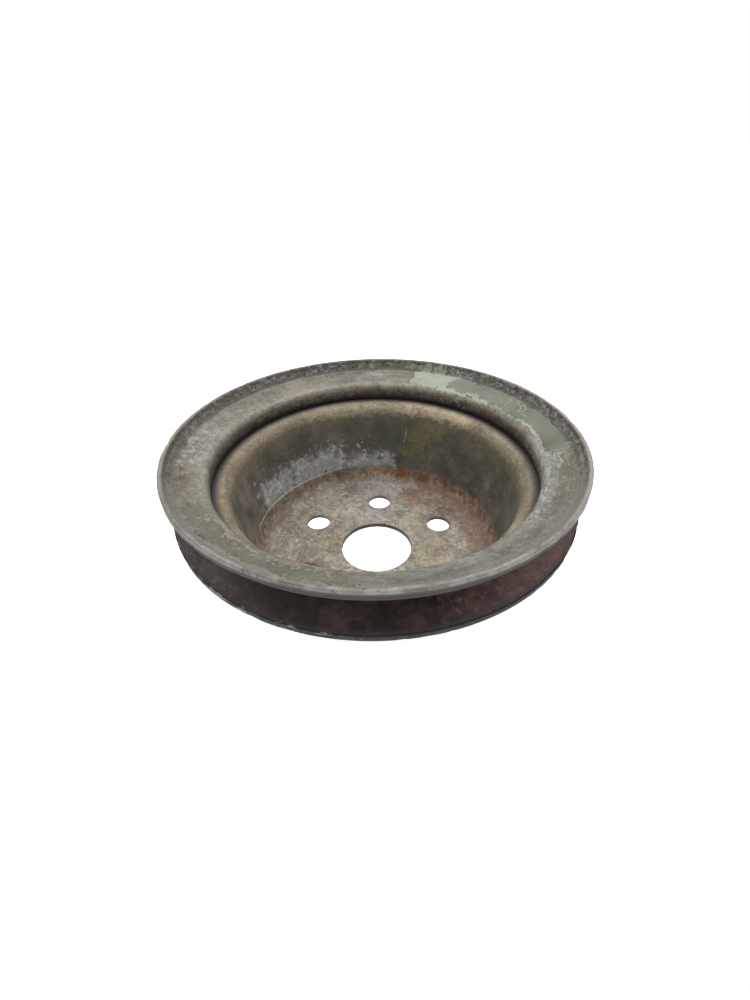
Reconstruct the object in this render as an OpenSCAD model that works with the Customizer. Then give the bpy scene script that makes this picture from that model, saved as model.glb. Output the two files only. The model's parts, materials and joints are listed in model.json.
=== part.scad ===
// Single-groove V-belt pulley in pressed steel. A deep drawn hub cup turns out
// at its mouth into the rear belt flange. A flange ring with a raised lip stands
// on it and closes the groove, and a weld runs round the root between the two.
// The axis is Z and the open side is up. The origin is the middle of the pilot
// hole on the face that bolts against the driven hub. Lengths are millimetres.

/* [Overall] */
// Outside diameter of the front flange
rim_d = 150; // [144:1:170]
// How far the rear flange's edge stands inside the front flange's
rear_inset = 0.5; // [0:0.1:1.5]
// Height from the mounting face to the top of the lip
height = 57; // [52:0.2:75]
// Thickness of the hub cup's sheet
hub_sheet = 2; // [1.6:0.1:3]
// Thickness of the flange ring's sheet
ring_sheet = 2.6; // [2:0.1:3]

/* [Groove] */
// Depth of the groove, from the front flange's edge in to the root
groove_depth = 12.1; // [11:0.1:13]
// Height of the lip above the rear flange's seat, where the neck stands
seat_depth = 14.5; // [13:0.1:17]
// Slope of the front flank, in degrees from flat
front_flank = 20.2; // [16:0.2:22]
// Slope of the rear flank, in degrees from flat
rear_flank = 20.6; // [16:0.2:22]
// Leg length of the weld in the groove's root
weld_leg = 1.4; // [1:0.1:1.8]

/* [Lip] */
// Width of the lip's flat top
lip_w = 1.3; // [1.2:0.1:2]
// Width of the step between the lip and the front flank
step_w = 2.8; // [2.4:0.1:4]
// Height of the step
step_h = 3.95; // [3:0.05:4.5]

/* [Cup] */
// Distance from the neck's inner face in to the line of the cup's wall
mouth_inset = 5.1; // [4:0.1:7]
// Taper of the cup's wall, in degrees
wall_taper = 8.8; // [4:0.2:10]
// Radius of the shoulder at the mouth
shoulder_r = 6; // [4:0.2:6.2]
// Radius of the corner between the wall and the floor
floor_corner_r = 7; // [5:0.2:10]

/* [Holes] */
// Diameter of the pilot hole
pilot_d = 30; // [20:0.5:36]
// Diameter of each bolt hole
bolt_d = 10.3; // [6:0.1:12]
// Diameter of the bolt circle
bolt_circle_d = 63.5; // [58:0.5:64]
// Number of bolt holes
bolt_count = 6; // [3:1:6]
// Turn of the bolt holes from the +Y direction, in degrees
bolt_turn = -3.3; // [-30:0.1:30]

/* [Hidden] */
arc_step = 10;
round_fn = 96;
cut_margin = 1;
flat_margin = 0.3;
cut_edge_r = 0.35;
lip_outer_r = 0.5;
lip_inner_r = 0.7;
step_foot_r = 2;
neck_bend_r = 2.6;
groove_bend_r = 0.6;
flank_bend_r = 3;
weld_hollow = 1.6;
weld_steps = 4;
rim_r = rim_d / 2;
rear_r = rim_r - rear_inset;
root_r = rim_r - groove_depth;
neck_r = root_r - ring_sheet;
mouth_r = neck_r - mouth_inset;
lip_r = rim_r - lip_w;
step_r = lip_r - step_w;
step_z = height - step_h;
seat_z = height - seat_depth;
flat_r = root_r + weld_leg + flat_margin;

// Direction of a vector, with length 1
function unit(v) = v / norm(v);

// The side of a path's leg that lies to its left
function left(v) = [-v.y, v.x];

// Heading of a vector in degrees
function heading(v) = atan2(v.y, v.x);

// An angle brought into the range -180 to 180
function wrapped(a) = a - 360 * floor((a + 180) / 360);

// Points on the arc that rounds corner b, between a and c, to the radius b[2]
function rounded_corner(a, b, c) =
    let(
        at = [b.x, b.y],
        back = unit([a.x, a.y] - at),
        on = unit([c.x, c.y] - at),
        half_turn = (180 - acos(back * on)) / 2,
        centre = at + unit(back + on) * b[2] / cos(half_turn),
        start = at + back * b[2] * tan(half_turn) - centre,
        finish = at + on * b[2] * tan(half_turn) - centre,
        sweep = wrapped(heading(finish) - heading(start)),
        steps = max(2, ceil(abs(sweep) / arc_step))
    )
    [for (i = [0:steps])
        centre + b[2] * [cos(heading(start) + sweep * i / steps),
                         sin(heading(start) + sweep * i / steps)]];

// A closed outline of [x, y, radius] corners, with each corner rounded
function rounded_outline(corners) =
    let(n = len(corners))
    [for (i = [0:n - 1])
        for (p = corners[i][2] > 0
                ? rounded_corner(corners[(i + n - 1) % n], corners[i], corners[(i + 1) % n])
                : [[corners[i].x, corners[i].y]]) p];

// The corner of a sheet's back face behind corner b of its front face, where the
// back lies to the left of the path a, b, c at the distance t
function behind(a, b, c, t, r) =
    let(
        first = left(unit([b.x - a.x, b.y - a.y])),
        second = left(unit([c.x - b.x, c.y - b.y])),
        corner = [b.x, b.y] + (first + second) * t / (1 + first * second)
    )
    [corner.x, corner.y, r];

// A ring swept round the axis from an outline of rounded corners
module turned(corners) {
    rotate_extrude($fn = round_fn) polygon(rounded_outline(corners));
}

// Drawn cup with the rear belt flange turned out at its mouth
module hub_cup() {
    flange_end_z = seat_z - (rear_r - flat_r) * tan(rear_flank);
    flange_low_z = flange_end_z - hub_sheet / cos(rear_flank);
    foot_r = mouth_r - (seat_z - hub_sheet) * tan(wall_taper);
    flange_end = [rear_r, flange_end_z, cut_edge_r];
    flank_start = [flat_r, seat_z, flank_bend_r];
    shoulder = [mouth_r, seat_z, shoulder_r];
    foot = [foot_r, hub_sheet, floor_corner_r];
    pilot_edge = [pilot_d / 2, hub_sheet, 0];
    color("#565448")
    difference() {
        turned([
            flange_end,
            flank_start,
            shoulder,
            foot,
            pilot_edge,
            [pilot_d / 2, 0, 0],
            behind(shoulder, foot, pilot_edge, hub_sheet, floor_corner_r + hub_sheet),
            behind(flank_start, shoulder, foot, hub_sheet, shoulder_r - hub_sheet),
            behind(flange_end, flank_start, shoulder, hub_sheet, flank_bend_r - hub_sheet),
            [rear_r, flange_low_z, cut_edge_r]
        ]);
        for (i = [0:bolt_count - 1])
            rotate(90 + bolt_turn + i * 360 / bolt_count)
                translate([bolt_circle_d / 2, 0, -cut_margin])
                    cylinder(d = bolt_d, h = hub_sheet + 2 * cut_margin, $fn = round_fn);
    }
}

// Front belt flange, with its raised lip and the neck that stands on the hub cup
module front_flange() {
    bend_z = step_z - (step_r - neck_r) * tan(front_flank);
    lip = [lip_r, height, lip_inner_r];
    step_foot = [step_r, step_z, step_foot_r];
    bend = [neck_r, bend_z, neck_bend_r];
    neck_end = [neck_r, seat_z, cut_edge_r];
    step_back = behind(lip, step_foot, bend, ring_sheet, step_foot_r);
    lip_low_z = step_back.y + (rim_r - step_back.x) * step_h / step_w;
    color("#8a8478")
    turned([
        [rim_r, height, lip_outer_r],
        lip,
        step_foot,
        bend,
        neck_end,
        [root_r, seat_z, 0],
        behind(step_foot, bend, neck_end, ring_sheet, groove_bend_r),
        step_back,
        [rim_r, lip_low_z, cut_edge_r]
    ]);
}

// Weld bead with a hollow face, in the corner between the neck and the flange
module root_weld() {
    hollow_r = weld_leg * weld_hollow;
    half_face = weld_leg / sqrt(2);
    spread = asin(half_face / hollow_r);
    face_middle = [root_r, seat_z] + [weld_leg, weld_leg] / 2;
    centre = face_middle + unit([1, 1]) * hollow_r * cos(spread);
    color("#3c3431")
    rotate_extrude($fn = round_fn)
        polygon([
            [root_r, seat_z],
            for (i = [0:weld_steps])
                let(a = 225 + spread * (1 - 2 * i / weld_steps))
                centre + hollow_r * [cos(a), sin(a)]
        ]);
}

hub_cup();
front_flange();
root_weld();
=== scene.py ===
"""Pressed-steel V-belt pulley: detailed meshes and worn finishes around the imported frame.

Lengths in the section outlines are millimetres; meshes are written in metres, in the
frame's own axes: Z along the pulley's axis, the open side up.
"""
import json
import math

import bmesh
import bpy
import numpy as np
from mathutils import Matrix, Vector


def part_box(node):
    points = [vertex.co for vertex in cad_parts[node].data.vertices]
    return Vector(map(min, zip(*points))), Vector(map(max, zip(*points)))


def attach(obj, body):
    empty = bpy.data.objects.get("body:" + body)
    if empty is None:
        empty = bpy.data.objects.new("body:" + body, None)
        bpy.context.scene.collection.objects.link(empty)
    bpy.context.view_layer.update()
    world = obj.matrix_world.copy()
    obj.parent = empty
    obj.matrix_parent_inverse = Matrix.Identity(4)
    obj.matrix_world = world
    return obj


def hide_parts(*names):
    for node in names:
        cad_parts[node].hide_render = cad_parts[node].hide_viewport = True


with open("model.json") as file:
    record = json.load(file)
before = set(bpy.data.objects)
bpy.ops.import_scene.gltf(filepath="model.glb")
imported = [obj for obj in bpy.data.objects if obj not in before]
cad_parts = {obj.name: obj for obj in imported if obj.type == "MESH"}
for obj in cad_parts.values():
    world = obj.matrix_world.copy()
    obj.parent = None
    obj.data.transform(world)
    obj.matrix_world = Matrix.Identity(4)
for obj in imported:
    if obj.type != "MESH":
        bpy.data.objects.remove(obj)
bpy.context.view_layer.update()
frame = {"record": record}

# ---------------------------------------------------------------- driving sizes, mm

MM = 0.001
RING_LOW, RING_HIGH = (np.array(corner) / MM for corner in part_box("front_flange"))
MOUNTS = {mount["name"]: mount for mount in frame["record"]["mounts"]}

HEIGHT = RING_HIGH[2]
SEAT_Z = RING_LOW[2]
RIM_R = RING_HIGH[0]
REAR_INSET = 0.5
GROOVE_DEPTH = 12.1
MOUTH_INSET = 5.1
LIP_W = 1.3
STEP_W = 2.8
STEP_H = 3.95
RING_SHEET = 2.6
HUB_SHEET = 2.0
WELD_LEG = 1.4
WELD_HOLLOW = 1.6
FLAT_MARGIN = 0.3
REAR_R = RIM_R - REAR_INSET
ROOT_R = RIM_R - GROOVE_DEPTH
NECK_R = ROOT_R - RING_SHEET
MOUTH_R = NECK_R - MOUTH_INSET
LIP_R = RIM_R - LIP_W
STEP_R = LIP_R - STEP_W
STEP_Z = HEIGHT - STEP_H
FLAT_R = ROOT_R + WELD_LEG + FLAT_MARGIN
FRONT_FLANK = math.radians(20.2)
REAR_FLANK = math.radians(20.6)
WALL_TAPER = math.radians(8.8)
FOOT_R = MOUTH_R - (SEAT_Z - HUB_SHEET) * math.tan(WALL_TAPER)
CUT_EDGE_R = 0.35
LIP_OUTER_R = 0.5
LIP_INNER_R = 0.7
STEP_FOOT_R = 2.0
NECK_BEND_R = 2.6
NECK_FOOT_R = 0.1
GROOVE_BEND_R = 0.6
FLANK_BEND_R = 3.0
SHOULDER_R = 6.0
CORNER_R = 7.0
HOLE_ROLL_R = 0.35
HOLE_BURR_R = 0.12
PILOT_R = MOUNTS["pilot_bore"]["dims"]["r_mm"]
BOLT_R = MOUNTS["bolt_circle"]["dims"]["hole_r_mm"]
BOLT_CIRCLE_R = MOUNTS["bolt_circle"]["dims"]["pcd_mm"] / 2
BOLT_COUNT = MOUNTS["bolt_circle"]["dims"]["count"]
BOLT_TURN = math.radians(90 - 3.3)
PLATE_R = 40.0  # where the cup's floor with its holes joins the swept part


# ---------------------------------------------------------------- outlines of sections


def unit(v):
    """The vector v divided by its length."""
    return v / np.linalg.norm(v)


def rounded(corners, spacing, arc_spacing=0.16, closed=True):
    """Points along an outline of (x, y, radius) corners.

    Each corner becomes an arc of its radius that is tangent to both of its legs:
    centre + radius * (cos a, sin a), with a running evenly between the two tangent
    points. Each straight leg is then divided evenly into steps of about spacing.
    """
    corners = [np.array(corner, float) for corner in corners]
    count = len(corners)
    arcs = []
    for i, (x, y, radius) in enumerate(corners):
        at = np.array([x, y])
        ends = not closed and i in (0, count - 1)
        if radius == 0 or ends:
            arcs.append(at[None])
            continue
        back = unit(corners[i - 1][:2] - at)
        on = unit(corners[(i + 1) % count][:2] - at)
        half_turn = (math.pi - math.acos(np.clip(back @ on, -1, 1))) / 2
        centre = at + unit(back + on) * radius / math.cos(half_turn)
        start = at + back * radius * math.tan(half_turn) - centre
        finish = at + on * radius * math.tan(half_turn) - centre
        first = math.atan2(start[1], start[0])
        sweep = math.atan2(finish[1], finish[0]) - first
        sweep = (sweep + math.pi) % (2 * math.pi) - math.pi
        steps = max(4, int(abs(sweep) * radius / arc_spacing / (1 + radius / 2)))
        angle = first + sweep * np.linspace(0, 1, steps + 1)
        arcs.append(centre + radius * np.stack([np.cos(angle), np.sin(angle)], 1))
    path = []
    for i, arc in enumerate(arcs):
        path.append(arc)
        if not closed and i == count - 1:
            break
        gap = arcs[(i + 1) % count][0] - arc[-1]
        steps = max(1, round(float(np.linalg.norm(gap)) / spacing))
        along = np.linspace(0, 1, steps + 1)[1:-1, None]
        path.append(arc[-1] + gap * along)
    return np.concatenate(path)


def behind(a, b, c, thickness, radius):
    """The corner of a sheet's back face behind corner b: its two legs moved left."""
    a, b, c = (np.array(p[:2], float) for p in (a, b, c))
    first = unit(b - a)[::-1] * (-1, 1)
    second = unit(c - b)[::-1] * (-1, 1)
    corner = b + (first + second) * thickness / (1 + first @ second)
    return (*corner, radius)


# ---------------------------------------------------------------- wear in the shape


def swell(angle, along, waves, seed):
    """A smooth random field from -1 to 1: the mean of sines of whole numbers of turns."""
    rng = np.random.default_rng(seed)
    total = np.zeros(np.broadcast(angle, along).shape)
    for _ in range(waves):
        turns = rng.integers(1, 9)
        pitch = rng.uniform(-0.12, 0.12)
        total = total + np.sin(turns * angle + pitch * along + rng.uniform(0, 6.28))
    return total / waves


def dinged(points, centres, widths, depths, push):
    """Moves points along push by depth * exp(-(distance / width)^2) for every ding."""
    points = points.copy()
    for centre, width, depth in zip(centres, widths, depths):
        near = ((points - centre) ** 2).sum(-1) / width**2
        points += push(points) * (depth * np.exp(-near))[..., None]
    return points


def inward(points):
    """Unit vectors from the points towards the pulley's axis."""
    flat = points * (1, 1, 0)
    return -flat / np.linalg.norm(flat, axis=-1, keepdims=True)


def upward(points):
    """Unit vectors along the pulley's axis, one for each point."""
    return np.broadcast_to((0.0, 0.0, 1.0), points.shape)


def edge_dings(points, radius, z, count, depth, seed):
    """Small knocks of random size round an edge of the given radius and height."""
    rng = np.random.default_rng(seed)
    angle = rng.uniform(0, 2 * math.pi, count)
    ring = radius * np.cos(angle), radius * np.sin(angle), z + rng.uniform(-0.3, 0.3, count)
    return dinged(
        points,
        np.stack(ring, 1),
        rng.uniform(0.5, 2.2, count),
        depth * rng.uniform(0.2, 1, count) ** 2,
        inward,
    )


# ---------------------------------------------------------------- meshes


def lathe(section, turns, start=0.0):
    """Sweeps section (r, z) round Z: x = r cos a, y = r sin a, on a turns-long grid."""
    angle = start + 2 * math.pi * np.arange(turns) / turns
    r, z = section[:, 0][None], section[:, 1][None]
    cos, sin = np.cos(angle)[:, None], np.sin(angle)[:, None]
    return np.stack([r * cos, r * sin, z + 0 * cos], -1)


def grid_faces(rows, columns, wrap_rows, wrap_columns, first=0):
    """Quads of a rows by columns grid of vertex numbers that starts at first."""
    i = np.arange(rows if wrap_rows else rows - 1)[:, None]
    j = np.arange(columns if wrap_columns else columns - 1)[None]
    i2, j2 = (i + 1) % rows, (j + 1) % columns
    corners = i * columns + j, i2 * columns + j, i2 * columns + j2, i * columns + j2
    return first + np.stack(np.broadcast_arrays(*corners), -1).reshape(-1, 4)


def merged(points, faces, marks):
    """Joins points that share a place, and drops faces that this leaves without area."""
    keys = np.round(points * 1e4).astype(np.int64)
    _, keep, place = np.unique(keys, axis=0, return_index=True, return_inverse=True)
    faces = place.reshape(-1)[faces]
    whole = (faces[:, 0] != faces[:, 2]) & (faces[:, 1] != faces[:, 3])
    return points[keep], faces[whole], {name: mark[keep] for name, mark in marks.items()}


def make_piece(name, node, points, faces, marks, finish):
    """A smooth mesh piece in metres, with named marks as point attributes."""
    mesh = bpy.data.meshes.new(name)
    mesh.from_pydata((points * MM).tolist(), [], faces.tolist())
    shell = bmesh.new()
    shell.from_mesh(mesh)
    bmesh.ops.recalc_face_normals(shell, faces=shell.faces)
    shell.to_mesh(mesh)
    shell.free()
    mesh.polygons.foreach_set("use_smooth", np.ones(len(mesh.polygons), bool))
    for mark, values in marks.items():
        layer = mesh.attributes.new(mark, "FLOAT", "POINT")
        layer.data.foreach_set("value", values.astype(np.float32))
    mesh.materials.append(finish)
    piece = bpy.data.objects.new(name, mesh)
    bpy.context.scene.collection.objects.link(piece)
    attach(piece, "root")
    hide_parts(node)
    return piece


# ---------------------------------------------------------------- shader tools


class Value:
    """A node's output that stands in Python sums; each operator adds its Math node."""

    def __init__(self, finish, socket):
        self.finish = finish
        self.socket = socket

    def math(self, operation, *others):
        inputs = {i: value for i, value in enumerate((self, *others))}
        return self.finish.node("ShaderNodeMath", {"operation": operation}, inputs)

    def __add__(self, other):
        return self.math("ADD", other)

    def __sub__(self, other):
        return self.math("SUBTRACT", other)

    def __rsub__(self, other):
        return self.finish.node("ShaderNodeMath", {"operation": "SUBTRACT"}, {0: other, 1: self})

    def __mul__(self, other):
        return self.math("MULTIPLY", other)

    def __truediv__(self, other):
        return self.math("DIVIDE", other)

    def __pow__(self, other):
        return self.math("POWER", other)

    def __abs__(self):
        return self.math("ABSOLUTE")

    __radd__ = __add__
    __rmul__ = __mul__

    def least(self, other):
        return self.math("MINIMUM", other)

    def most(self, other):
        return self.math("MAXIMUM", other)


class Finish:
    """A material under construction: node() adds any node, and the rest are shorthands.

    Colours are given as the camera should show them. A surface shows about gain times its
    own colour, plus sheen, so light holds the (gain, sheen) of the area being coloured.
    """

    def __init__(self, name, seed):
        self.material = bpy.data.materials.new(name)
        self.material.use_nodes = True
        self.tree = self.material.node_tree
        self.tree.nodes.clear()
        self.light = 1.0, 0.0
        place = self.node("ShaderNodeTexCoord", {}, {}, "Object")
        self.place = self.vector("SCALE", place, scale=1 / MM)
        x, y, z = (self.node("ShaderNodeSeparateXYZ", {}, {0: self.place}, i) for i in range(3))
        self.z = z
        self.radius = (x * x + y * y) ** 0.5
        self.angle = y.math("ARCTAN2", x) * math.degrees(1)
        self.x = x / self.radius
        self.y = y / self.radius
        self.turn_drift = (self.noise(8, 3, 0.5, shift=seed) - 0.5) * 14
        self.cross_drift = (self.noise(6, 3, 0.5, shift=seed + 2) - 0.5) * 7
        self.tear = self.noise(2.6, 8, 0.72, shift=seed + 5) - 0.5
        self.fine = self.noise(0.8, 3, 0.7, shift=seed + 7)
        self.cloud = self.noise(10, 5, 0.6, shift=seed + 9)

    def node(self, kind, settings, inputs, output=0):
        made = self.tree.nodes.new(kind)
        for name, value in settings.items():
            if name == "stops":
                self.set_stops(made.color_ramp, value)
            else:
                setattr(made, name, value)
        for name, value in inputs.items():
            if isinstance(value, Value):
                self.tree.links.new(value.socket, made.inputs[name])
            else:
                made.inputs[name].default_value = value
        return None if output is None else Value(self, made.outputs[output])

    @staticmethod
    def set_stops(ramp, stops):
        while len(ramp.elements) < len(stops):
            ramp.elements.new(0.5)
        for element, (position, colour) in zip(ramp.elements, stops):
            element.position = position
            element.color = colour

    def vector(self, operation, first, second=None, scale=None):
        inputs = {0: first}
        if second is not None:
            inputs[1] = second
        if scale is not None:
            inputs["Scale"] = scale
        return self.node("ShaderNodeVectorMath", {"operation": operation}, inputs)

    def mark(self, name):
        return self.node("ShaderNodeAttribute", {"attribute_name": name}, {}, "Fac")

    def noise(self, size, detail=4.0, roughness=0.55, place=None, shift=0.0):
        """Noise from 0 to 1 whose blotches are about size across, in the place's units."""
        moved = self.vector("ADD", place or self.place, (shift, shift * 1.7, shift * 0.6))
        return self.node(
            "ShaderNodeTexNoise",
            {},
            {"Vector": moved, "Scale": 1 / size, "Detail": detail, "Roughness": roughness},
        )

    def streaks(self, across, width, run, detail=4.0, roughness=0.65, shift=0.0):
        """Noise drawn out round the axis: blotches width mm across and run degrees long."""
        turn = math.degrees(1) / run
        place = {0: self.x * turn, 1: self.y * turn, 2: across / width}
        place = self.node("ShaderNodeCombineXYZ", {}, place)
        return self.noise(1.0, detail, roughness, place, shift)

    def ramp(self, value, low, high):
        """0 where value is under low, 1 where it is over high, and smooth between."""
        return self.node(
            "ShaderNodeMapRange",
            {"interpolation_type": "SMOOTHSTEP"},
            {"Value": value, "From Min": low, "From Max": high},
        )

    def mix(self, first, second, mask):
        """The first colour, with the second over it where mask is 1."""
        return self.node("ShaderNodeMix", {"data_type": "RGBA"}, {0: mask, 6: first, 7: second}, 2)

    def shown(self, red, green, blue):
        """The surface colour that the camera shows as this display colour."""
        gain, sheen = self.light
        return (*(max(0.002, (channel - sheen) / gain) for channel in srgb(red, green, blue)), 1)

    def colours(self, value, *stops):
        """A colour that runs through the stops, each a position and a display colour."""
        stops = [(position, self.shown(*shade)) for position, shade in stops]
        return self.node("ShaderNodeValToRGB", {"stops": stops}, {0: value})

    def tones(self, value, dark, middle, pale):
        """A display colour for each of the low, middle and high parts of a noise."""
        return self.colours(value, (0.39, dark), (0.5, middle), (0.61, pale))

    def over(self, ground, mask, *shade):
        """The ground colour with one display colour laid over it where mask is 1."""
        return self.mix(ground, self.shown(*shade), mask)

    def surface(self, base, roughness, metallic, height, depth):
        """Ends the finish: colour, roughness, metal share, and relief depth in mm."""
        relief = self.node(
            "ShaderNodeBump", {}, {"Strength": 1.0, "Distance": depth * MM, "Height": height}
        )
        shader = self.node(
            "ShaderNodeBsdfPrincipled",
            {},
            {"Base Color": base, "Roughness": roughness, "Metallic": metallic, "Normal": relief},
        )
        self.node("ShaderNodeOutputMaterial", {}, {"Surface": shader}, None)
        return self.material

    def patch(self, across, first, last, low, high, torn=7.0, drift=1.0):
        """How many mm inside a patch a point is, negative outside it.

        The patch lies between two directions in degrees and two values of across. Its
        corners are rounded, and noise bends its outline by drift and tears it by torn.
        """
        middle, half = (first + last) / 2, math.radians(last - first) / 2
        turn = (self.angle - middle).math("WRAP", 180.0, -180.0) * math.radians(1)
        turn = abs(turn * self.radius + self.turn_drift * drift) - self.radius * half
        cross = abs(across + self.cross_drift * drift - (low + high) / 2) - (high - low) / 2
        return self.tear * torn - turn.math("SMOOTH_MAX", cross, 2.5)

    def fill(self, field, soft=0.25):
        """1 inside a patch and 0 outside, over a border soft mm wide to either side."""
        return self.ramp(field, -soft, soft)

    def edge(self, field, width=0.3):
        """1 along a patch's outline, fading to 0 at width mm from it."""
        return self.ramp(abs(field), width, 0.0)

    def specks(self, size, rare, shift):
        """1 in scattered specks about size mm across; rare runs from 0.5 to 0.7."""
        return self.ramp(self.noise(size, 3, 0.65, shift=shift), rare, rare + 0.05)


def srgb(red, green, blue):
    """A display colour of 0 to 255 as linear light."""
    channels = np.array([red, green, blue]) / 255
    linear = np.where(channels <= 0.04045, channels / 12.92, ((channels + 0.055) / 1.055) ** 2.4)
    return tuple(float(channel) for channel in linear)


# ---------------------------------------------------------------- camera and light

CAMERA_DISTANCE = 2.3268 * RIM_R * MM
CAMERA_RISE = math.radians(29.754)
CAMERA_PAN = math.radians(0.076)
CAMERA_TILT = math.radians(-7.692)
CAMERA_ROLL = math.radians(-1.249)
LENS = 17.08
RIM_CENTRE = Vector((0, 0, (HEIGHT - 0.5) * MM))


def make_camera():
    """A camera on the front side: raised, then panned, tilted and rolled off the rim's centre."""
    back = Vector((0, -math.cos(CAMERA_RISE), math.sin(CAMERA_RISE)))
    ahead = -back
    right = Vector((1, 0, 0))
    up = right.cross(ahead)
    right, ahead = (
        right * math.cos(CAMERA_PAN) + ahead * math.sin(CAMERA_PAN),
        ahead * math.cos(CAMERA_PAN) - right * math.sin(CAMERA_PAN),
    )
    up, ahead = (
        up * math.cos(CAMERA_TILT) - ahead * math.sin(CAMERA_TILT),
        up * math.sin(CAMERA_TILT) + ahead * math.cos(CAMERA_TILT),
    )
    right, up = (
        right * math.cos(CAMERA_ROLL) + up * math.sin(CAMERA_ROLL),
        up * math.cos(CAMERA_ROLL) - right * math.sin(CAMERA_ROLL),
    )
    turn = Matrix((right, up, -ahead)).transposed().to_4x4()
    data = bpy.data.cameras.new("camera")
    data.lens = LENS
    data.sensor_width = 36.0
    camera = bpy.data.objects.new("camera", data)
    camera.matrix_world = Matrix.Translation(RIM_CENTRE + back * CAMERA_DISTANCE) @ turn
    bpy.context.scene.collection.objects.link(camera)
    bpy.context.scene.camera = camera


def make_light(name, place, size, power):
    """A square area light of the given size and power that faces the pulley."""
    data = bpy.data.lights.new(name, "AREA")
    data.size = size
    data.energy = power
    light = bpy.data.objects.new(name, data)
    light.location = place
    light.rotation_euler = (RIM_CENTRE - Vector(place)).to_track_quat("-Z", "Y").to_euler()
    bpy.context.scene.collection.objects.link(light)


def make_studio():
    """A pale floor, a white surround, and one soft light above and a little behind."""
    scene = bpy.context.scene
    scene.view_settings.view_transform = "Standard"
    scene.world = bpy.data.worlds.new("surround")
    scene.world.use_nodes = True
    sky = scene.world.node_tree.nodes["Background"]
    sky.inputs["Color"].default_value = (1, 1, 1, 1)
    sky.inputs["Strength"].default_value = 1.0
    make_light("overhead", (0.0, 0.25, 0.9), 0.7, 9.0)
    side = 6.0
    corners = [(-side, -side, 0), (side, -side, 0), (side, side, 0), (-side, side, 0)]
    mesh = bpy.data.meshes.new("floor")
    mesh.from_pydata(corners, [], [(0, 1, 2, 3)])
    pale = bpy.data.materials.new("pale_floor")
    pale.use_nodes = True
    shader = pale.node_tree.nodes["Principled BSDF"]
    shader.inputs["Base Color"].default_value = (0.8, 0.8, 0.8, 1)
    shader.inputs["Roughness"].default_value = 0.9
    shader.inputs["Emission Color"].default_value = (1, 1, 1, 1)
    shader.inputs["Emission Strength"].default_value = 0.75
    mesh.materials.append(pale)
    floor = bpy.data.objects.new("floor", mesh)
    bpy.context.scene.collection.objects.link(floor)


# ---------------------------------------------------------------- pieces


def make_front_flange(finish):
    """The ring pressing: a closed section from lip to neck, swept round and knocked about.

    The groove mark is 1 at the points from the sheet's back to 0.9 mm above it.
    """
    bend_z = STEP_Z - (STEP_R - NECK_R) * math.tan(FRONT_FLANK)
    lip = (LIP_R, HEIGHT, LIP_INNER_R)
    step_foot = (STEP_R, STEP_Z, STEP_FOOT_R)
    bend = (NECK_R, bend_z, NECK_BEND_R)
    neck_end = (NECK_R, SEAT_Z, CUT_EDGE_R)
    step_back = behind(lip, step_foot, bend, RING_SHEET, STEP_FOOT_R)
    lip_low_z = step_back[1] + (RIM_R - step_back[0]) * STEP_H / STEP_W
    section = rounded(
        [
            (RIM_R, HEIGHT, LIP_OUTER_R),
            lip,
            step_foot,
            bend,
            neck_end,
            (ROOT_R, SEAT_Z, NECK_FOOT_R),
            behind(step_foot, bend, neck_end, RING_SHEET, GROOVE_BEND_R),
            step_back,
            (RIM_R, lip_low_z, CUT_EDGE_R),
        ],
        spacing=0.7,
    )
    turns = 720
    points = lathe(section, turns)
    faces = grid_faces(turns, len(section), True, True)
    radius, z = section.T
    low = np.interp(radius, [NECK_R, ROOT_R, RIM_R], [0, 0, 1])
    back_line = [ROOT_R, step_back[0], RIM_R], [bend_z - 2.2, step_back[1], lip_low_z]
    groove = ((z < np.interp(radius, *back_line) + 0.9) & (radius > NECK_R + 0.5)).astype(float)
    wobble = swell(np.arctan2(points[..., 1], points[..., 0]), 0 * points[..., 0], 6, 3)
    points[..., 2] += (wobble - 1) * 0.05 * low
    points = points.reshape(-1, 3)
    points = edge_dings(points, RIM_R, HEIGHT - 0.4, count=60, depth=0.3, seed=5)
    points = edge_dings(points, RIM_R, lip_low_z + 0.2, count=40, depth=0.3, seed=6)
    raised_at, raised_r = math.radians(253), NECK_R + 1.5
    raised = raised_r * math.cos(raised_at), raised_r * math.sin(raised_at), bend_z + 0.5
    points = dinged(points, np.array([raised]), widths=[7.0], depths=[0.5], push=upward)
    marks = {"groove": np.tile(groove, turns)}
    points, faces, marks = merged(points, faces, marks)
    make_piece("front_flange_ring", "front_flange", points, faces, marks, finish)


def hole_edge(top, bottom):
    """A punched hole's edge as (extra radius, height): two quarter circles and the wall between."""
    sin, cos = np.sin(np.linspace(0, math.pi / 2, 5)), np.cos(np.linspace(0, math.pi / 2, 5))
    upper = np.stack([HOLE_ROLL_R * (1 - sin), top - HOLE_ROLL_R * (1 - cos)], 1)
    lower = np.stack([HOLE_BURR_R * (1 - cos), bottom + HOLE_BURR_R * (1 - sin)], 1)
    return np.concatenate([upper, lower])


def turned_sheet(x, y, z, facing):
    """A grid of points (x, y, z), turned round the axis by the angle facing."""
    return np.stack(
        [
            x * math.cos(facing) - y * math.sin(facing),
            x * math.sin(facing) + y * math.cos(facing),
            np.broadcast_to(z, x.shape),
        ],
        -1,
    )


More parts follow.
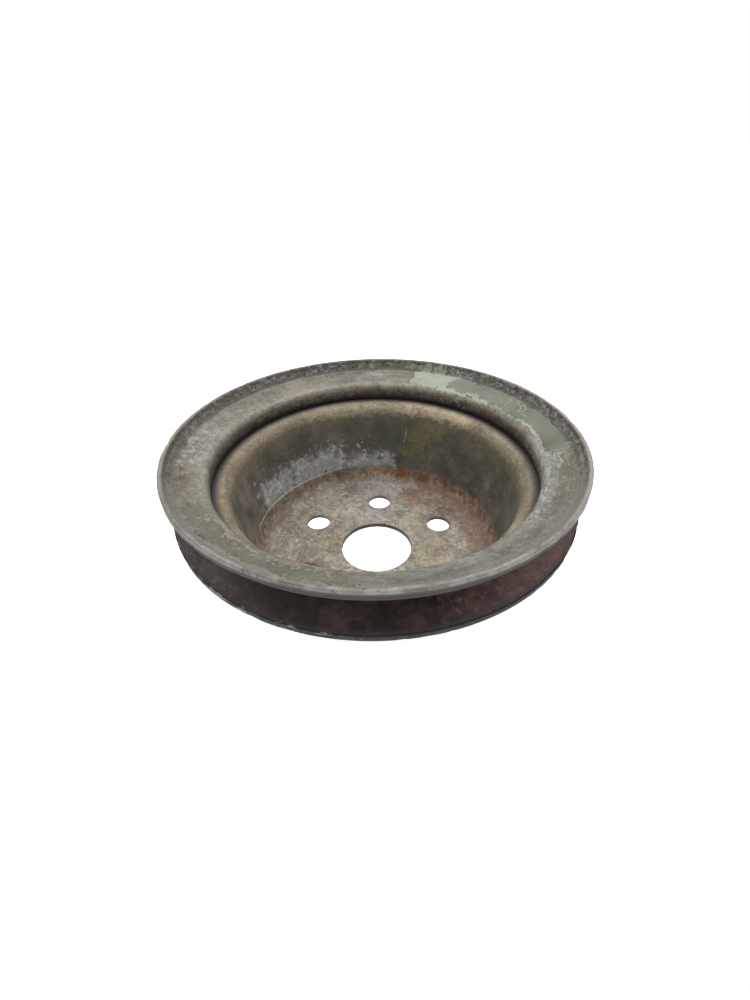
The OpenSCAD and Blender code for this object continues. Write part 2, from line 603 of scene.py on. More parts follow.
def make_hub_cup(finish):
    """The cup pressing: a swept wall, shoulder and flange, joined to a floor with holes.

    The floor has one sector for each bolt hole. A sector's grid runs from the hole's rim
    out to the sector's border: rim + (border - rim) * ease, with ease from 0 to 1. The
    marks are 1 on the cup's outside (back) and on the walls of its holes (bore).
    """
    turns = 480
    flange_z = SEAT_Z - (REAR_R - FLAT_R) * math.tan(REAR_FLANK)
    flange_end = (REAR_R, flange_z, CUT_EDGE_R)
    flank_start = (FLAT_R, SEAT_Z, FLANK_BEND_R)
    shoulder = (MOUTH_R, SEAT_Z, SHOULDER_R)
    foot = (FOOT_R, HUB_SHEET, CORNER_R)
    inner = (PLATE_R, HUB_SHEET, 0)
    section = rounded(
        [
            inner,
            foot,
            shoulder,
            flank_start,
            flange_end,
            (REAR_R, flange_z - HUB_SHEET / math.cos(REAR_FLANK), CUT_EDGE_R),
            behind(flange_end, flank_start, shoulder, HUB_SHEET, FLANK_BEND_R - HUB_SHEET),
            behind(flank_start, shoulder, foot, HUB_SHEET, SHOULDER_R - HUB_SHEET),
            behind(shoulder, foot, inner, HUB_SHEET, CORNER_R + HUB_SHEET),
            (PLATE_R, 0, 0),
        ],
        spacing=1.6,
        closed=False,
    )
    start = BOLT_TURN + math.pi / BOLT_COUNT
    swept = lathe(section, turns, start)
    outer_leg = int(np.argmax(section[:, 0]))
    sides = np.arange(len(section)) > outer_leg
    points = [swept.reshape(-1, 3)]
    faces = [grid_faces(turns, len(section), True, False)]
    back = [np.tile(sides.astype(float), turns)]
    bore = [np.zeros(len(points[0]))]
    count = len(points[0])

    def add(grid, is_back, in_bore=0.0):
        nonlocal count
        rows, columns = grid.shape[:2]
        points.append(grid.reshape(-1, 3))
        faces.append(grid_faces(rows, columns, True, False, count))
        back.append(np.full(rows * columns, float(is_back)))
        bore.append(np.broadcast_to(in_bore, (rows, columns)).ravel())
        count += rows * columns

    rim_steps, inner_steps, side_steps = turns // BOLT_COUNT, 40, 26
    half = math.pi / BOLT_COUNT
    edge = hole_edge(HUB_SHEET, 0.0)
    wall_share = (edge[:, 1] < HUB_SHEET - 0.15).astype(float)
    rim_angle = np.linspace(-half, half, rim_steps + 1)
    inner_angle = np.linspace(half, -half, inner_steps + 1)
    leg = np.linspace(0, 1, side_steps + 1)
    for top, z, spread in (True, HUB_SHEET, edge[0, 0]), (False, 0.0, edge[-1, 0]):
        inside = PILOT_R + spread
        radius = np.concatenate([
            np.full(rim_steps, PLATE_R),
            (PLATE_R + (inside - PLATE_R) * leg)[:-1],
            np.full(inner_steps, inside),
            (inside + (PLATE_R - inside) * leg)[:-1],
        ])
        turn = np.concatenate([
            rim_angle[:-1],
            np.full(side_steps, half),
            inner_angle[:-1],
            np.full(side_steps, -half),
        ])
        border = np.stack([radius * np.cos(turn) - BOLT_CIRCLE_R, radius * np.sin(turn)], 1)
        aim = border / np.linalg.norm(border, axis=1, keepdims=True)
        rim = aim * (BOLT_R + spread)
        ease = np.linspace(0, 1, 12) ** 1.4
        flat = rim[:, None] + (border - rim)[:, None] * ease[None, :, None]
        for k in range(BOLT_COUNT):
            facing = BOLT_TURN + 2 * math.pi * k / BOLT_COUNT
            add(turned_sheet(flat[..., 0] + BOLT_CIRCLE_R, flat[..., 1], z, facing), not top)
            if top:
                wall = aim[:, None] * (BOLT_R + edge[None, :, :1])
                grid = turned_sheet(wall[..., 0] + BOLT_CIRCLE_R, wall[..., 1], edge[:, 1], facing)
                add(grid, 0.0, wall_share)
    add(lathe(edge + (PILOT_R, 0), BOLT_COUNT * inner_steps, start), 0.0, wall_share)
    points = np.concatenate(points)
    faces = np.concatenate(faces)
    marks = {"back": np.concatenate(back), "bore": np.concatenate(bore)}
    points, faces, marks = merged(points, faces, marks)
    angle = np.arctan2(points[:, 1], points[:, 0])
    radius = np.hypot(points[:, 0], points[:, 1])
    wobble = swell(angle, 0 * angle, 6, 9)
    flange_share = np.clip((radius - FLAT_R) / (REAR_R - FLAT_R), 0, 1) ** 2
    points[:, 2] += wobble * 0.12 * flange_share
    points = edge_dings(points, REAR_R, flange_z - 0.2, count=50, depth=0.35, seed=11)
    points = edge_dings(points, REAR_R, flange_z - 2.2, count=40, depth=0.35, seed=12)
    make_piece("hub_cup_pressing", "hub_cup", points, faces, marks, finish)


def make_root_weld(finish):
    """A hollow-faced weld bead whose face ripples along its run."""
    turns, steps = 720, 10
    hollow_r = WELD_LEG * WELD_HOLLOW
    spread = math.asin(WELD_LEG / math.sqrt(2) / hollow_r)
    centre = np.array([ROOT_R, SEAT_Z]) + WELD_LEG / 2 + hollow_r * math.cos(spread) / math.sqrt(2)
    angle = math.radians(225) + spread * np.linspace(1, -1, steps + 1)
    face = centre + hollow_r * np.stack([np.cos(angle), np.sin(angle)], 1)
    section = np.concatenate([[[ROOT_R, SEAT_Z]], face])
    points = lathe(section, turns)
    run = np.arange(turns) * 2 * math.pi / turns
    ripple = 0.06 * np.sin(run * 180) + 0.05 * swell(run, 0, 5, 21)
    share = np.concatenate([[0], np.sin(np.linspace(0, math.pi, steps + 1))])
    points[..., :2] *= 1 - (0.06 - ripple)[:, None, None] * share[None, :, None] / ROOT_R
    faces = grid_faces(turns, len(section), True, True)
    points = points.reshape(-1, 3)
    points, faces, _ = merged(points, faces, {})
    make_piece("root_weld_bead", "root_weld", points, faces, {}, finish)


# ---------------------------------------------------------------- finishes

# The (gain, sheen) of each area, as Finish explains
RING_LIGHT = 1.95, 0.05
SHOULDER_LIGHT = 1.5, 0.03
WALL_LIGHT = 0.5, 0.018
CORNER_LIGHT = 0.75, 0.02
FLOOR_LIGHT = 1.3, 0.02
GROOVE_LIGHT = 0.85, 0.015


def worn_steel(f, rubbed, seed, dark, middle, pale, lift=0.0):
    """Bare steel: clouds, blotches, grain and the marks that rubbing leaves."""
    blotch = f.noise(3.0, 6, 0.65, shift=seed)
    cloud = f.noise(15, 3, 0.55, shift=seed + 4)
    tone = (cloud * 1.2 + blotch * 1.4 + f.fine + rubbed * 1.2) * (1 / 4.8)
    return f.tones((tone - 0.5) * 1.15 + 0.5 + lift, dark, middle, pale)


def ring_steel(f, front):
    """The flange ring's rubbed steel, with a paler front and a crust along its bend."""
    r = f.radius
    inner = f.ramp(r, STEP_R - 0.4, NECK_R + 1.7)
    rubbed = f.streaks(r, 0.7, 7, shift=28)
    base = worn_steel(f, rubbed, 20, (98, 89, 77), (127, 119, 106), (160, 153, 141), inner * 0.06)
    base = f.over(base, f.ramp(f.cloud, 0.5, 0.66) * 0.4, 124, 124, 107)
    base = f.over(base, f.specks(1.3, 0.58, 24) * 0.4, 166, 161, 152)
    base = f.over(base, front * f.ramp(r, STEP_R - 4.4, STEP_R - 0.9) * 0.65, 164, 158, 151)
    crust = f.fill(f.patch(r, 128, 222, 60.8, 64.6, 12), 1.2)
    crumbs = f.ramp(f.noise(1.5, 7, 0.75, shift=27), 0.47, 0.58)
    return f.over(base, crust * crumbs * 0.75, 166, 169, 153)


def ring_chalk(f, streak):
    """How thickly white oxide lies on the flange ring, from 0 to 1."""
    r = f.radius
    chalk_rear = f.patch(r, 163, 189, 62.8, 71.0, 12).most(f.patch(r, 86, 93, 66.6, 68.8))
    chalk_right = f.patch(r, -46, 8, 60.0, 65.2, 9)
    chalk_front = f.patch(r, 222, 242, 63.5, 70.0).most(f.patch(r, 288, 306, 62.0, 68.0))
    blotch = f.ramp(f.noise(2.6, 7, 0.75, shift=17), 0.44, 0.60)
    chalk = f.fill(chalk_rear, 1.5) * (0.1 + blotch * 0.75)
    chalk = chalk.most(f.fill(f.patch(r, 85, 92, 67.2, 68.8, 4), 0.6) * 0.7)
    curdled = f.ramp(f.noise(1.6, 7, 0.78, shift=19) * 0.7 + streak * 0.3, 0.45, 0.55)
    chalk = chalk.most(f.fill(chalk_right, 1.5) * (0.15 + curdled * 0.8))
    chalk = chalk.most(f.fill(chalk_front, 2.0) * blotch * 0.45)
    smear = f.patch(r, 262, 322, 60.4, 64.2)
    return chalk.most(f.fill(smear, 1.0) * f.ramp(streak, 0.47, 0.58) * 0.6)


def ring_paint(f, base, streak):
    """The flange ring's worn paints over base, and how much of each point they cover."""
    r = f.radius
    mossy = f.fill(f.patch(r, -82, -12, 63.5, 70.0), 3.0)
    mossy = mossy * f.ramp(f.noise(4.5, 6, 0.7, shift=64), 0.44, 0.58)
    base = f.over(base, mossy * 0.5, 112, 114, 97)
    near_right = f.ramp(f.y, 0.2, -0.3) * f.ramp(f.x, -0.1, 0.4)
    base = f.over(base, f.specks(1.7, 0.555, 68) * near_right * 0.45, 112, 102, 93)
    teal = f.patch(r, -67, -46, 62.6, 66.2).most(f.patch(r, -20, -7, 63.4, 65.8))
    teal = teal.most(f.patch(r, 268, 293, 62.0, 66.0))
    base = f.over(base, f.fill(teal, 0.8) * f.ramp(streak, 0.36, 0.54) * 0.6, 144, 152, 145)
    olive = f.patch(r, 210, 264, 64.0, 69.6)
    flakes = f.specks(1.8, 0.60, 36)
    olive_paint = f.tones(
        f.cloud * 0.6 + f.fine * 0.4, (106, 106, 88), (118, 118, 100), (132, 131, 114)
    )
    base = f.mix(base, olive_paint, f.fill(olive) * (1 - flakes * 0.8) * 0.9)
    base = f.over(base, f.edge(olive, 0.5) * f.ramp(f.cloud, 0.45, 0.55) * 0.6, 168, 165, 155)
    flaked = f.fill(f.patch(r, 212, 262, 62.4, 66.0), 1.0) * f.specks(1.6, 0.56, 44)
    base = f.over(base, flaked * 0.7, 184, 181, 165)
    scored = f.patch(r, 219, 226, 70.0, 70.4, 2, 0.6).most(f.patch(r, 236, 241, 71.0, 71.4, 2, 0.6))
    base = f.over(base, f.fill(scored) * 0.7, 72, 66, 60)

    sage = f.patch(r, -4, 57, 63.7, 70.9)
    bare = f.patch(r, 6, 21, 60.5, 64.4).most(f.patch(r, 34, 40, 60.5, 64.6))
    sage = sage.least(-0.1 - bare)
    mint = f.patch(r, 56, 74, 61.8, 71.6).most(f.patch(r, 38, 62, 61.2, 65.2, 11))
    mint = mint.most(f.patch(r, -12, -5, 65.3, 67.6)).most(f.patch(r, 5, 22, 62.4, 65.0, 9))
    mint = mint.most(sage + (f.cloud - 0.46) * 7)
    mint_paint = f.tones(
        f.cloud * 0.5 + f.fine * 0.5, (152, 160, 138), (168, 177, 153), (182, 190, 168)
    )
    base = f.mix(base, mint_paint, f.fill(mint) * (1 - flakes * 0.5) * 0.92)
    sage_paint = f.tones(
        f.cloud * 0.7 + f.fine * 0.3, (110, 115, 97), (119, 124, 105), (132, 135, 115)
    )
    base = f.mix(base, sage_paint, f.fill(sage))
    squiggle = f.ramp(abs(f.noise(6.0, 1, 0.5, shift=38) - 0.5), 0.020, 0.006)
    scratched = f.patch(r, 21, 33, 65.5, 70.0, 2)
    base = f.over(base, squiggle * f.fill(scratched, 0.5) * 0.8, 176, 180, 158)
    # Painted shadow: a dark line along parts of the sage paint's edge
    base = f.over(base, f.edge(sage, 0.22) * f.ramp(f.cloud, 0.48, 0.56) * 0.5, 74, 76, 64)
    return base, f.fill(sage).most(f.fill(mint)).most(f.fill(olive))


def ring_rim(f, base, front, rear):
    """The step and the lip over base: dirt and scabs in the step, darker at the rear partly as painted
    shade, polish on the lip with painted highlights at its right and far left and painted shade along its
    inner edge at the sides.
    """
    r = f.radius
    step = f.ramp(r, STEP_R - 0.4, STEP_R + 0.2) * f.ramp(r, LIP_R + 0.2, LIP_R - 0.3)
    on_rim = f.ramp(r, STEP_R - 0.1, STEP_R + 0.6)
    # At the rear the step is darker, with a dark line along its foot: partly dirt, partly painted shade
    base = f.over(base, step * (0.1 + rear * 0.6), 110, 107, 102)
    base = f.over(base, step * f.ramp(f.y, 0.1, -0.6) * 0.6, 168, 162, 155)
    base = f.over(base, f.edge(r - (STEP_R - 0.1), 0.35) * rear * 0.6, 70, 65, 57)
    sides = f.ramp(f.y, -0.65, -0.15)
    # Painted shade: a dark line along the lip's inner edge at the sides
    base = f.over(base, f.edge(r - (LIP_R - 0.7), 0.7) * sides * 0.7, 84, 79, 76)
    scabs = f.ramp(f.streaks(r, 0.9, 2.2, 5, 0.7, 42), 0.53, 0.58) * on_rim
    scabs = scabs * f.ramp(f.angle, -45, -10) * f.ramp(f.angle, 205, 130)
    base = f.over(base, scabs * 0.8, 168, 167, 161)
    soot = f.ramp(f.streaks(r, 0.8, 2.0, 5, 0.7, 47), 0.54, 0.60) * on_rim
    base = f.over(base, soot * rear * 0.75, 56, 54, 52)
    soot = soot * sides * (1 - rear) * f.ramp(r, LIP_R + 0.3, LIP_R - 0.5)
    base = f.over(base, soot * 0.65, 78, 76, 78)
    spikes = (f.streaks(r, 4.0, 1.1, 3, 0.6, 52) - 0.5) * 12
    drips = f.patch(r, 61, 72, 69.0, 72.4).most(f.patch(r, 55, 59, 70.0, 72.4)) + spikes
    base = f.over(base, f.fill(drips, 0.3) * 0.8, 166, 174, 152)
    lip = f.ramp(r, LIP_R - 0.4, LIP_R + 0.1)
    polish = f.streaks(r, 2.5, 5, 6, 0.7, 58)
    polish = f.tones(polish, (126, 120, 113), (156, 151, 144), (180, 177, 170))
    base = f.mix(base, polish, lip * (0.6 + front * 0.25))
    # Painted highlights: the lip is paler at its right and far left; between them it is darker at the
    # front left
    base = f.over(base, lip * f.ramp(f.x, 0.6, 0.9) * 0.6, 190, 180, 174)
    base = f.over(base, lip * f.ramp(f.x, -0.5, -0.85) * front * 0.4, 124, 118, 112)
    return f.over(base, lip * f.ramp(f.x, -0.8, -0.95) * 0.5, 176, 168, 162)


def ring_neck(f, base, rear):
    """Specks over base, a painted highlight on the bend at the rear, dark brown low on the neck that is
    partly dirt and partly painted shade, and rust down the neck.
    """
    r = f.radius
    base = f.over(base, f.specks(0.8, 0.60, 23) * 0.45, 66, 60, 54)
    base = f.over(base, f.specks(0.7, 0.62, 29) * 0.35, 196, 193, 186)
    # Painted highlight: the bend at the rear is made paler in mottled places, standing in for light
    bend = f.ramp(r, NECK_R + 3.1, NECK_R + 1.5) * f.ramp(f.z, SEAT_Z + 3.2, SEAT_Z + 5.0) * rear
    bend = bend * f.ramp(f.noise(1.8, 6, 0.75, shift=49), 0.40, 0.58)
    base = f.over(base, bend * 0.5, 192, 184, 169)
    # Partly brown dirt, partly painted shade: the neck darkens towards the crevice at its foot
    low = f.ramp(f.z + f.tear * 4, SEAT_Z + 4.2, SEAT_Z + 0.8) * f.ramp(r, NECK_R + 2.7, NECK_R + 0.7)
    base = f.over(base, low, 74, 62, 54)
    rusting = f.ramp(f.noise(2.4, 7, 0.75, shift=53), 0.44, 0.56) * f.ramp(r, NECK_R + 1.1, NECK_R + 0.3)
    return f.over(base, rusting * f.ramp(f.z, SEAT_Z + 5.5, SEAT_Z + 4.0) * 0.5, 84, 70, 60)


def ring_groove(f, base, groove):
    """Grime over base inside the groove, partly painted shade and darkest under the lip at the front and
    rear as painted shadow, and painted shade on the lip's outer face, darker still towards its foot.
    """
    f.light = GROOVE_LIGHT
    rust = f.ramp(f.noise(4, 5, 0.65, shift=31), 0.45, 0.7) * f.ramp(f.x, -0.6, 0.9)
    dirt = f.cloud * 0.65 + f.fine * 0.2 + f.tear * 0.3 + 0.07
    # The groove's dark tones: partly real dirt, partly painted shade
    grime_and_shade = f.tones(dirt, (44, 37, 37), (57, 49, 48), (68, 60, 58))
    # Painted shadow: darker under the lip at the front and rear
    grime_and_shade = f.over(grime_and_shade, f.ramp(abs(f.x), 0.3, 0.05) * 0.5, 40, 34, 34)
    grime_and_shade = f.over(grime_and_shade, rust * 0.6, 98, 76, 68)
    base = f.mix(base, grime_and_shade, groove)
    f.light = RING_LIGHT
    # Painted shade: the lip's outer face is made dark, darker towards its foot as a painted shadow under
    # the lip
    outer_face = f.ramp(f.radius, RIM_R - 0.6, RIM_R - 0.3) * f.ramp(f.z, HEIGHT - 0.7, HEIGHT - 1.6)
    base = f.over(base, outer_face * 0.9, 92, 91, 86)
    return f.over(base, outer_face * f.ramp(f.z, HEIGHT - 1.4, HEIGHT - 2.8) * 0.85, 64, 64, 60)


def ring_finish():
    """What is left of the flange ring's paint, over steel, chalky oxide and grime."""
    f = Finish("ring_worn_paint", 1)
    f.light = RING_LIGHT
    rear = f.ramp(f.y, -0.5, 0.9)
    front = f.ramp(f.y, -0.2, -0.9)
    groove = f.mark("groove")
    streak = f.streaks(f.radius, 0.8, 6, 6, 0.7, 33)
    chalk = ring_chalk(f, streak)
    base = f.over(ring_steel(f, front), chalk, 191, 191, 184)
    base, paint = ring_paint(f, base, streak)
    base = ring_rim(f, base, front, rear)
    base = ring_neck(f, base, rear)
    base = ring_groove(f, base, groove)
    rough = 0.62 - paint * 0.1 + chalk * 0.2 + groove * 0.1 + (f.fine - 0.5) * 0.3
    metal = (1 - paint.most(chalk).most(groove)) * 0.2
    height = paint * 0.9 + f.fine * 0.4 + f.tear * 0.5 + chalk * 0.5
    return f.surface(base, rough, metal, height, 0.15)


def cup_wall(f, oxide, chalk):
    """The wall's thin dark paint: green and bare places, an ochre smear, a scratch and oxide."""
    z = f.z
    f.light = WALL_LIGHT
    tone = f.cloud * 0.5 + f.fine * 0.35 + f.streaks(z, 2.5, 5, shift=71) * 0.15
    wall = f.tones(tone, (58, 57, 51), (69, 67, 60), (84, 80, 73))
    wall = f.over(wall, f.fill(f.patch(z, 64, 91, 16, 40), 6.0) * 0.5, 57, 60, 51)
    thin = f.fill(f.patch(z, 158, 200, 8, 40), 8.0) * f.ramp(f.cloud, 0.3, 0.7)
    wall = f.over(wall, thin * 0.6, 98, 90, 83)
    thin = f.fill(f.patch(z, 5, 50, 12, 24), 5.0) * f.ramp(f.cloud, 0.40, 0.66)
    wall = f.over(wall, thin * 0.3, 102, 97, 93)
    ochre = f.patch(z, 53, 67, 28, 36).most(f.patch(z, 61, 70, 19, 30)).most(f.patch(z, 67, 76, 17, 22))
    wall = f.over(wall, f.fill(ochre, 1.6) * (0.35 + f.ramp(f.tear, -0.1, 0.1) * 0.25), 94, 85, 59)
    wall = f.over(wall, f.specks(1.4, 0.60, 83) * f.fill(ochre, 1.5) * 0.7, 60, 53, 40)
    scratch = abs((f.angle - 73.6) * 0.93 - (z - 27) * -0.16 + f.turn_drift * 0.25)
    wall = f.over(wall, f.ramp(scratch, 0.5, 0.1) * f.ramp(abs(z - 27), 4.6, 2.0) * 0.4, 134, 136, 126)
    film = oxide * f.ramp(f.noise(5.0, 5, 0.6, shift=55), 0.30, 0.46)
    wall = f.over(wall, film * 0.75, 115, 116, 116)
    wall = f.over(wall, chalk * 0.75, 148, 148, 149)
    dots = f.patch(z, 90, 168, 12, 28, 8)
    return f.over(wall, f.fill(dots, 3.0) * f.specks(2.0, 0.60, 87) * 0.6, 146, 145, 146)


def cup_floor(f, grain, rust_grain):
    """The floor's grainy steel: damp, dull and yellowed places, turned marks, cuts and rust."""
    r = f.radius
    f.light = FLOOR_LIGHT
    steel = worn_steel(f, grain, 60, (94, 84, 73), (140, 131, 119), (182, 174, 161))
    steel = f.over(steel, f.ramp(r, 40, 28) * f.ramp(f.y, 0.2, 0.7) * 0.1, 172, 164, 154)
    damp = f.noise(9, 5, 0.6, shift=67)
    steel = f.over(steel, f.ramp(damp, 0.48, 0.38) * 0.45, 122, 109, 95)
    steel = f.over(steel, f.ramp(f.noise(8, 4, 0.6, shift=70), 0.52, 0.64) * 0.3, 160, 152, 150)
    steel = f.over(steel, f.ramp(grain, 0.48, 0.36) * 0.6, 92, 82, 72)
    steel = f.over(steel, f.ramp(grain, 0.55, 0.68) * 0.5, 192, 185, 173)
    yellow = f.patch(r, -38, 8, 17, 32).most(f.patch(r, 166, 196, 16, 26)).most(f.patch(r, 34, 52, 20, 28))
    steel = f.over(steel, f.fill(yellow, 5.0) * f.ramp(damp, 0.40, 0.56) * 0.6, 164, 155, 122)
    brown = f.patch(r, -25, 68, 36, 52).most(f.patch(r, 140, 225, 42, 52))
    steel = f.over(steel, f.fill(brown, 4.0) * f.ramp(f.cloud, 0.34, 0.56) * 0.65, 110, 97, 85)
    dull = f.fill(f.patch(r, 160, 226, 25, 45), 5.0) * f.ramp(grain, 0.66, 0.44)
    steel = f.over(steel, dull * 0.6, 118, 106, 95)
    lilac = f.patch(r, 84, 104, 18, 27).most(f.patch(r, 76, 100, 36, 46))
    lilac = f.fill(lilac, 3.0) * f.ramp(f.fine * 0.5 + f.cloud * 0.5, 0.4, 0.6)
    steel = f.over(steel, lilac * 0.7, 176, 170, 172)
    steel = f.over(steel, f.specks(2.2, 0.62, 79) * 0.3, 188, 182, 170)
    stains = f.ramp(f.noise(3.4, 6, 0.7, shift=76), 0.52, 0.62) * f.ramp(f.y, 0.45, -0.05)
    steel = f.over(steel, stains * 0.5, 104, 92, 82)
    turned = f.ramp(f.streaks(r, 0.5, 25, 3, 0.6, 78), 0.58, 0.66) * f.ramp(r, 33, 37)
    steel = f.over(steel, turned * 0.35, 186, 178, 166)
    cut = f.patch(r, -14, 0, 21.6, 22.0, 1.5, 0.5).most(f.patch(r, -9, -2, 25.6, 26.0, 1.5, 0.5))
    steel = f.over(steel, f.fill(cut) * 0.7, 84, 76, 68)
    rust = f.patch(r, -15, 60, 41, 52).most(f.patch(r, 55, 66, 34, 42))
    rusting = f.ramp(damp, 0.42, 0.56)
    steel = f.over(steel, f.fill(rust, 3.5) * rusting * 0.5, 128, 104, 84)
    steel = f.over(steel, f.fill(rust, 2.0) * rust_grain * rusting * 0.4, 124, 86, 60)
    flecks = f.specks(2.0, 0.545, 64) * f.fill(f.patch(r, -20, 62, 34, 50), 3.0)
    steel = f.over(steel, flecks * 0.6, 118, 82, 56)
    flecks = f.specks(1.2, 0.585, 72) * f.ramp(f.x, -0.5, 0.3) * (1 - f.fill(rust, 3.5) * 0.75)
    steel = f.over(steel, flecks * 0.35, 198, 192, 182)
    spot = f.fill(f.patch(r, 57, 62, 35, 39.5, 9), 1.6)
    return f.over(steel, spot * (0.3 + rust_grain * 0.35), 150, 110, 68)


def cup_corner(f, grain, rust_grain, scaly):
    """The corner between floor and wall: scaly steel, rustier on the right, with rust spots."""
    z = f.z
    f.light = CORNER_LIGHT
    bend = f.tones(scaly, (92, 81, 71), (118, 106, 95), (152, 141, 129))
    rusty = f.tones(scaly, (82, 69, 59), (114, 98, 87), (146, 129, 115))
    bend = f.mix(bend, rusty, f.fill(f.patch(f.radius, -50, 78, 30, 60), 8.0))
    sandy = f.fill(f.patch(z, 78, 96, 5, 10), 2.0) * f.ramp(grain, 0.46, 0.56)
    bend = f.over(bend, sandy * 0.6, 136, 118, 86)
    spots = f.patch(z, 57, 64, 4, 10.5, 10).most(f.patch(z, 72, 79, 4, 10.5, 10))
    bend = f.over(bend, f.fill(spots, 2.2) * 0.8, 92, 68, 50)
    bend = f.over(bend, f.fill(spots, 1.0) * rust_grain * 0.7, 122, 72, 38)
    flecks = f.specks(1.8, 0.545, 66) * f.fill(f.patch(z, 20, 100, 4, 11), 3.0)
    bend = f.over(bend, flecks * 0.7, 98, 68, 46)
    return f.over(bend, f.fill(f.patch(z, 110, 112.5, 3, 13, 10), 0.8) * 0.8, 98, 74, 56)


def cup_shoulder(f):
    """The shoulder's rubbed, yellowed steel, browner on the left and dull at the far right."""
    r, z = f.radius, f.z
    f.light = SHOULDER_LIGHT
    band = f.streaks(z, 0.9, 9, 5, 0.65, 77)
    gold = f.tones(
        band * 0.4 + f.fine * 0.25 + f.cloud * 0.35, (126, 116, 97), (164, 153, 132), (196, 182, 152)
    )
    gold = f.over(gold, f.ramp(f.x, -0.2, -0.7) * 0.7, 138, 126, 111)
    gold = f.over(gold, f.ramp(f.x, 0.8, 0.97) * 0.6, 122, 114, 100)
    gold = f.over(gold, f.ramp(f.cloud + f.tear, 0.50, 0.42) * 0.4, 126, 114, 94)
    sunny = f.fill(f.patch(r, 40, 76, 53.0, 58.5), 2.5)
    sunny = sunny * f.ramp(f.noise(2.2, 6, 0.75, shift=99), 0.42, 0.54)
    gold = f.over(gold, sunny * 0.6, 200, 184, 152)
    gold = f.over(gold, f.specks(2.4, 0.61, 93) * 0.5, 84, 78, 58)
    return f.over(gold, f.specks(1.7, 0.59, 97) * 0.45, 198, 184, 154)


def flange_grime_and_shade(f, red):
    """Greasy dirt on the rear flange inside the groove, partly painted shade and darkest under the lip at
    the front and rear as painted shadow, greyer on the left, rustier on the right.
    """
    f.light = GROOVE_LIGHT
    dirt = f.cloud * 0.65 + f.fine * 0.2 + f.tear * 0.3 + 0.07
    # These dark tones: partly real dirt, partly painted shade
    grime_and_shade = f.tones(dirt, (44, 37, 37), (58, 49, 49), (72, 63, 61))
    # Painted shadow: darker in cloudy places at the front and rear, under the lip
    middle = f.ramp(abs(f.x), 0.4, 0.1) * f.ramp(f.cloud, 0.6, 0.4)
    grime_and_shade = f.over(grime_and_shade, middle * 0.6, 38, 32, 32)
    grime_and_shade = f.over(grime_and_shade, f.ramp(f.x, -0.3, -0.75) * 0.6, 82, 73, 72)
    grime_and_shade = f.over(grime_and_shade, f.ramp(f.x, 0.25, 0.75) * (0.45 + red * 0.4), 114, 94, 88)
    grime_and_shade = f.over(grime_and_shade, red * f.ramp(f.x, -0.6, 0.7) * 0.5, 100, 74, 62)
    dusty = f.ramp(f.x, -0.5, -0.85) * f.ramp(f.cloud, 0.42, 0.6)
    grime_and_shade = f.over(grime_and_shade, dusty * 0.5, 92, 92, 88)
    scuffs = f.ramp(f.noise(2.2, 6, 0.75, shift=84), 0.52, 0.62)
    grime_and_shade = f.over(grime_and_shade, scuffs * f.ramp(abs(f.x), 0.35, 0.75) * 0.45, 122, 104, 98)
    grime_and_shade = f.over(grime_and_shade, f.specks(1.8, 0.56, 102) * f.ramp(f.x, 0.0, 0.5) * 0.35, 130, 108, 98)
    return f.over(grime_and_shade, f.specks(3.2, 0.565, 104) * f.ramp(f.x, 0.3, 0.8) * 0.5, 114, 78, 54)


def flange_edge(f, base):
    """The rear flange's cut edge over base: darker near the edge, dark on the edge itself and browner on
    the right, chipped at the front.
    """
    r = f.radius
    base = f.over(base, f.ramp(r, REAR_R - 1.9, REAR_R - 0.9) * 0.6, 58, 58, 55)
    f.light = RING_LIGHT
    cut_edge = f.ramp(r, REAR_R - 0.6, REAR_R - 0.3)
    base = f.over(base, cut_edge * 0.9, 62, 64, 60)
    base = f.over(base, cut_edge * f.ramp(f.x, 0.1, 0.45) * 0.85, 46, 40, 36)
    chips = f.ramp(f.streaks(f.z, 0.7, 4.0, 5, 0.7, 89), 0.54, 0.59)
    chips = chips * f.ramp(r, REAR_R - 0.8, REAR_R - 0.4) * f.ramp(f.x, 0.05, -0.25)
    return f.over(base, chips * f.ramp(f.y, 0.3, -0.2) * 0.75, 186, 187, 181)


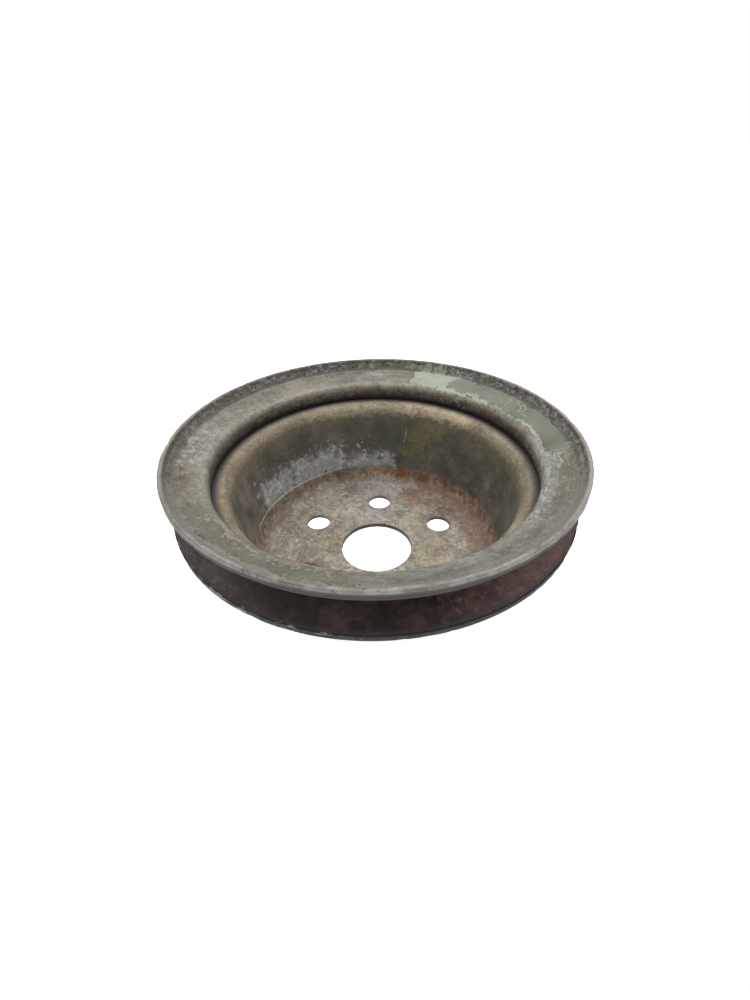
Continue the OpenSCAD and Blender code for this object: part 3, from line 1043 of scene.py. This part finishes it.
def cup_finish():
    """The cup's thin dark paint, worn at the shoulder, rusting on the floor and grimy outside."""
    f = Finish("cup_worn_paint", 41)
    r, z = f.radius, f.z
    grain = f.noise(1.5, 6, 0.74, shift=63)
    rust_grain = f.ramp(f.noise(2.0, 7, 0.75, shift=61), 0.44, 0.60)
    scaly = f.noise(2.4, 6, 0.75, shift=73) * 0.6 + f.cloud * 0.4
    oxide = f.fill(f.patch(z, 80, 116, 9.5, 17, 12).most(f.patch(z, 108, 165, 9, 22, 16)), 3.0)
    chalk = oxide * f.ramp(f.noise(3.2, 7, 0.72, shift=57), 0.46, 0.66)
    floor_share = f.ramp(z + f.tear * 3, 11.4, 9.6)
    wall = cup_wall(f, oxide, chalk)
    steel = cup_floor(f, grain, rust_grain)
    steel = f.mix(steel, cup_corner(f, grain, rust_grain, scaly), f.ramp(z + f.tear * 3, 3.2, 6.0))
    base = f.mix(wall, steel, floor_share)
    f.light = WALL_LIGHT
    line = f.edge(z - 10.9 + f.cross_drift * 0.1, 0.6)
    line = line * f.ramp(f.angle, 108, 130) * f.ramp(f.angle, 180, 172)
    base = f.over(base, line * f.ramp(scaly, 0.36, 0.50) * 0.8, 158, 148, 138)

    gold = cup_shoulder(f)
    top = z + f.tear * 12 + f.cross_drift * 0.5
    shoulder = f.ramp(top, SEAT_Z - 6.0, SEAT_Z - 4.0)
    base = f.over(base, f.ramp(top, SEAT_Z - 9.0, SEAT_Z - 5.5) * 0.7, 126, 118, 95)
    base = f.mix(base, gold, shoulder)
    # Painted shade: the shoulder darkens into the crevice under the ring's neck
    base = f.over(base, f.ramp(r, MOUTH_R + 1.6, NECK_R - 0.5) * 0.92, 44, 36, 32)
    f.light = FLOOR_LIGHT
    base = f.over(base, f.specks(1.1, 0.60, 75) * 0.4, 62, 54, 46)

    groove = f.ramp(r, ROOT_R - 0.4, ROOT_R + 0.3)
    red = f.ramp(f.noise(5, 5, 0.65, shift=81), 0.42, 0.66)
    base = f.mix(base, flange_grime_and_shade(f, red), groove)
    under = f.tones(f.fine * 0.5 + f.cloud * 0.5, (52, 48, 42), (64, 59, 52), (80, 72, 62))
    under = f.over(under, red * 0.6, 92, 62, 46)
    base = f.mix(base, under, f.ramp(f.mark("back"), 0.5, 0.9))
    base = flange_edge(f, base)
    f.light = FLOOR_LIGHT
    lower_wall = f.ramp(z, HUB_SHEET - 0.7, HUB_SHEET - 1.0)
    bore = f.mark("bore") * lower_wall.most(f.ramp(r, PILOT_R + 3.0, PILOT_R + 1.0))
    base = f.over(base, bore * 0.9, 48, 43, 41)
    rough = 0.62 + chalk * 0.2 + groove * 0.1 + (f.fine - 0.5) * 0.3
    metal = floor_share.most(shoulder) * 0.2
    height = f.fine * 0.4 + f.tear * 0.6 + chalk * 0.6
    return f.surface(base, rough, metal, height, 0.15)


def weld_finish():
    """Dark rusted weld metal."""
    f = Finish("weld_metal", 91)
    f.light = GROOVE_LIGHT
    base = f.tones(f.fine, (36, 31, 31), (56, 46, 43), (84, 62, 52))
    return f.surface(base, 0.75 + f.fine * 0.1, 0.2, f.fine, 0.15)


make_camera()
make_studio()
make_front_flange(ring_finish())
make_hub_cup(cup_finish())
make_root_weld(weld_finish())
